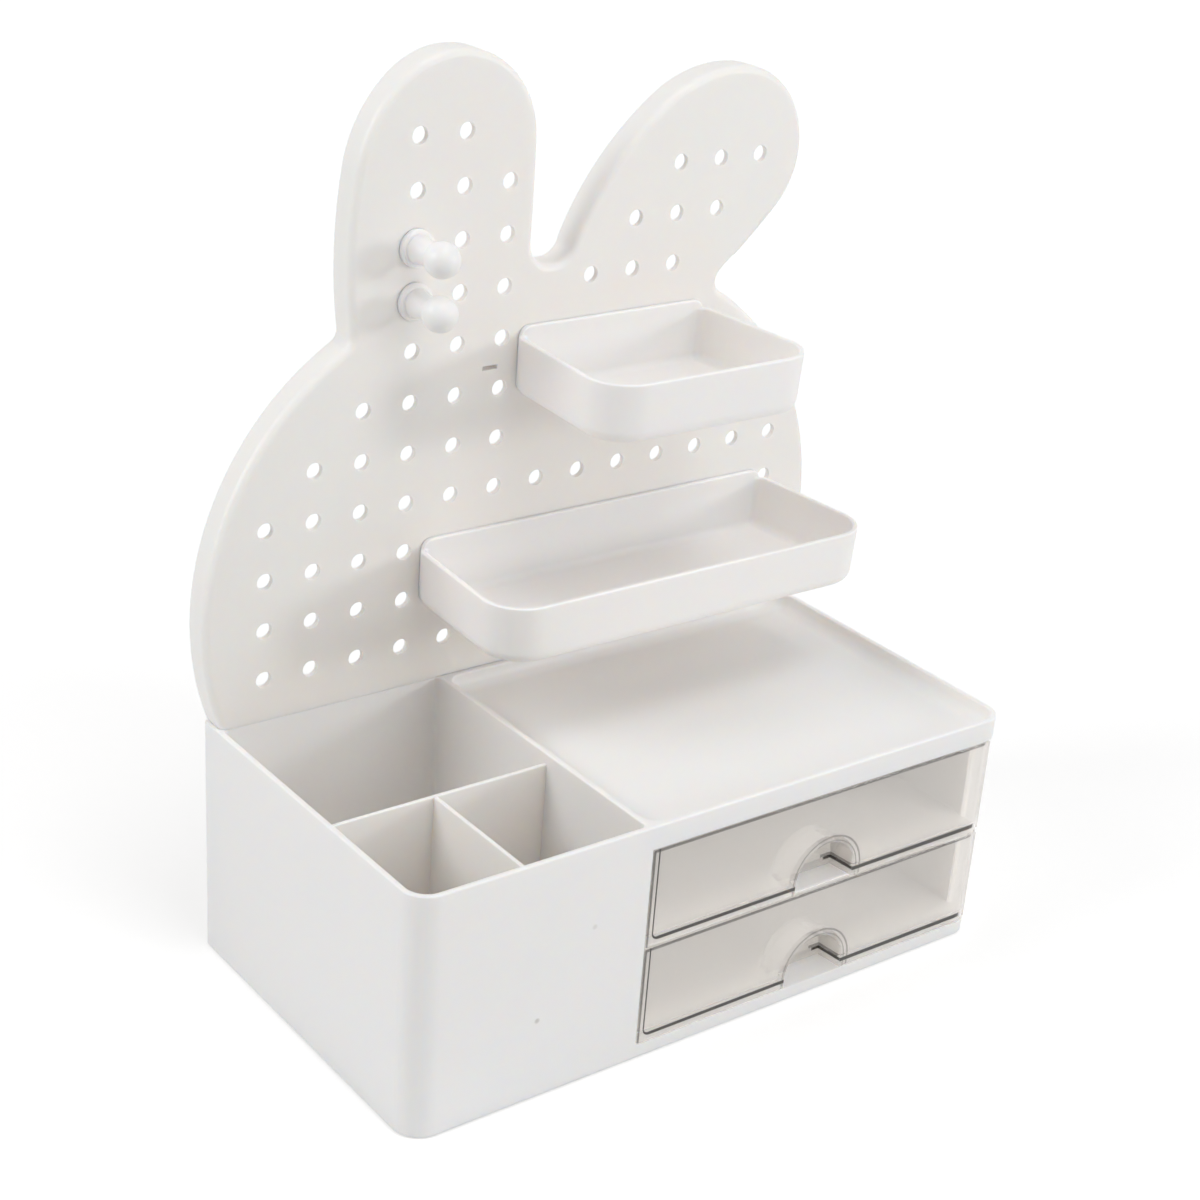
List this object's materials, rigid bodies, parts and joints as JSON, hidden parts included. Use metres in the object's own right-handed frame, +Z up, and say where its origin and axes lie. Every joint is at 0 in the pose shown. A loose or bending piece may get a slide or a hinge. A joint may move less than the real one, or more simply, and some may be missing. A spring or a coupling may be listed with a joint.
{
  "type": "pegboard desk organizer",
  "caption": "Desk organizer with open bins, clear pull-out drawers, a recessed flat top and a rabbit-shaped pegboard that holds trays and peg knobs.",
  "frame": {"origin": "bottom centre: on the desk, under the middle of the casing", "axes": "+X to the right, +Y to the back, +Z up"},
  "size_m": [0.2748, 0.141, 0.3287],
  "materials": {
    "casing_plastic": "satin moulded white plastic",
    "board_plastic": "satin moulded warm white plastic",
    "tray_plastic": "satin moulded warm white plastic",
    "knob_plastic": "satin moulded warm white plastic",
    "clear_plastic": "clear polished",
    "pad_rubber": "matt translucent"
  },
  "bodies": {
    "casing": {"casing": "casing_plastic", "front_left_foot_pad": "pad_rubber", "front_right_foot_pad": "pad_rubber", "rear_left_foot_pad": "pad_rubber", "rear_right_foot_pad": "pad_rubber"},
    "pegboard": {"pegboard": "board_plastic"},
    "upper_drawer": {"upper_drawer": "clear_plastic"},
    "lower_drawer": {"lower_drawer": "clear_plastic"},
    "small_tray": {"small_tray": "tray_plastic"},
    "long_tray": {"long_tray": "tray_plastic"},
    "upper_peg_knob": {"upper_peg_knob": "knob_plastic"},
    "lower_peg_knob": {"lower_peg_knob": "knob_plastic"}
  },
  "joints": [
    {"name": "upper_drawer_slide", "type": "slide", "parent": "casing", "child": "upper_drawer", "axis": [0, -1, 0], "range_m": [0, 0.105]},
    {"name": "lower_drawer_slide", "type": "slide", "parent": "casing", "child": "lower_drawer", "axis": [0, -1, 0], "range_m": [0, 0.105]},
    {"name": "pegboard_lift", "type": "slide", "parent": "casing", "child": "pegboard", "axis": [0, 0, 1], "range_m": [0, 0.018]},
    {"name": "small_tray_pull", "type": "slide", "parent": "pegboard", "child": "small_tray", "axis": [0, -1, 0], "range_m": [0, 0.007]},
    {"name": "long_tray_pull", "type": "slide", "parent": "pegboard", "child": "long_tray", "axis": [0, -1, 0], "range_m": [0, 0.007]},
    {"name": "upper_knob_pull", "type": "slide", "parent": "pegboard", "child": "upper_peg_knob", "axis": [0, -1, 0], "range_m": [0, 0.008]},
    {"name": "lower_knob_pull", "type": "slide", "parent": "pegboard", "child": "lower_peg_knob", "axis": [0, -1, 0], "range_m": [0, 0.008]}
  ]
}
